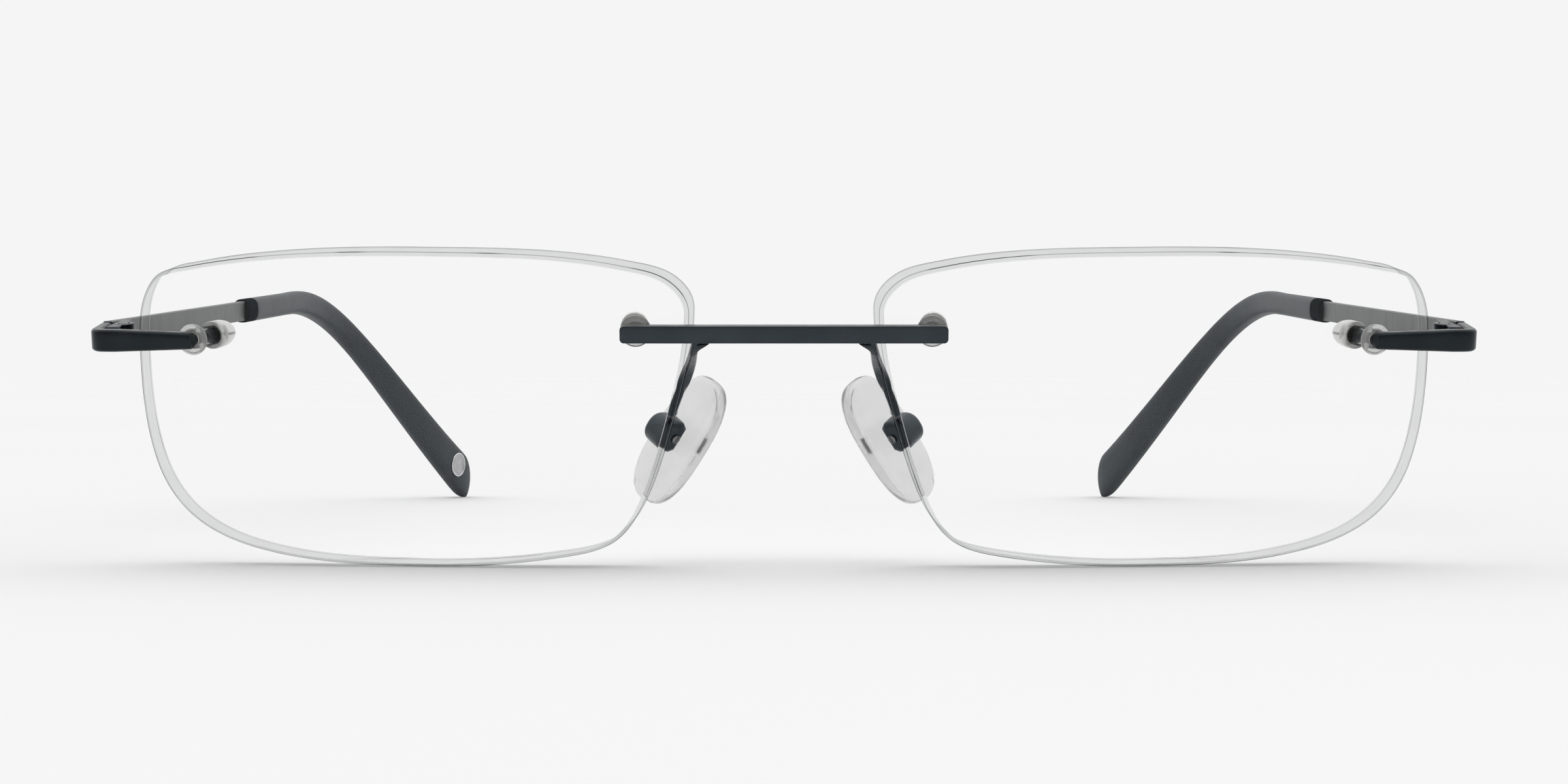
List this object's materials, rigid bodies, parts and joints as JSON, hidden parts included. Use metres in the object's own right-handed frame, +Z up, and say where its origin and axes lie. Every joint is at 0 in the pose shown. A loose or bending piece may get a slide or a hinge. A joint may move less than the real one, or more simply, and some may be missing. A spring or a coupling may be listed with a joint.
{
  "type": "rimless eyeglasses",
  "caption": "Rimless eyeglasses with drilled rectangular lenses, a metal bridge bar, rocking nose pads and folding temples with curved sleeved tips.",
  "frame": {"origin": "centre of the underside of the open glasses' bounding box, on the surface they stand on", "axes": "+X towards the wearer's left, +Y from the lenses back to the ears, +Z up"},
  "size_m": [0.136, 0.1392, 0.031],
  "materials": {
    "lens": "clear polished lens plastic",
    "clear_plastic": "clear moulded plastic",
    "silicone": "clear silicone, softly glossy",
    "black_metal": "blue-black plated metal, satin",
    "brushed_steel": "gunmetal, brushed across the temple",
    "dark_steel": "dark turned steel",
    "bright_steel": "bright polished steel",
    "sleeve": "matte blue-grey plastic",
    "collar": "glossy black plastic"
  },
  "bodies": {
    "front": {"bridge_bar": "black_metal", "left_lens": "lens", "left_nasal_washer": "clear_plastic", "left_nasal_bush": "clear_plastic", "left_nasal_post": "black_metal", "left_nasal_nut": "dark_steel", "left_nasal_cap": "clear_plastic", "left_temporal_washer": "clear_plastic", "left_temporal_bush": "clear_plastic", "left_temporal_post": "black_metal", "left_temporal_nut": "dark_steel", "left_temporal_cap": "clear_plastic", "left_pad_arm": "black_metal", "left_pad_cup": "black_metal", "left_pad_screw": "bright_steel", "left_end_piece": "black_metal", "left_hinge_front": "black_metal", "left_hinge_screw": "bright_steel", "right_lens": "lens", "right_nasal_washer": "clear_plastic", "right_nasal_bush": "clear_plastic", "right_nasal_post": "black_metal", "right_nasal_nut": "dark_steel", "right_nasal_cap": "clear_plastic", "right_temporal_washer": "clear_plastic", "right_temporal_bush": "clear_plastic", "right_temporal_post": "black_metal", "right_temporal_nut": "dark_steel", "right_temporal_cap": "clear_plastic", "right_pad_arm": "black_metal", "right_pad_cup": "black_metal", "right_pad_screw": "bright_steel", "right_end_piece": "black_metal", "right_hinge_front": "black_metal", "right_hinge_screw": "bright_steel"},
    "left_temple": {"left_hinge_rear": "black_metal", "left_temple": "brushed_steel", "left_tip_collar": "collar", "left_tip_sleeve": "sleeve"},
    "left_pad": {"left_nose_pad": "silicone"},
    "right_temple": {"right_hinge_rear": "black_metal", "right_temple": "brushed_steel", "right_tip_collar": "collar", "right_tip_sleeve": "sleeve", "right_tip_medallion": "bright_steel"},
    "right_pad": {"right_nose_pad": "silicone"}
  },
  "joints": [
    {"name": "left_temple_fold", "type": "hinge", "parent": "front", "child": "left_temple", "pos_m": [0.0651, -0.05746, 0.02274], "axis": [0, -0.1908, 0.9816], "range_deg": [0, 82]},
    {"name": "right_temple_fold", "type": "hinge", "parent": "front", "child": "right_temple", "pos_m": [-0.0651, -0.05746, 0.02274], "axis": [0, 0.1908, -0.9816], "range_deg": [0, 74]},
    {"name": "left_pad_rock", "type": "hinge", "parent": "front", "child": "left_pad", "pos_m": [0.01155, -0.05751, 0.01305], "axis": [0.5815, 0.6499, 0.4893], "range_deg": [-10, 10]},
    {"name": "right_pad_rock", "type": "hinge", "parent": "front", "child": "right_pad", "pos_m": [-0.01155, -0.05751, 0.01305], "axis": [-0.5815, 0.6499, 0.4893], "range_deg": [-10, 10]}
  ]
}
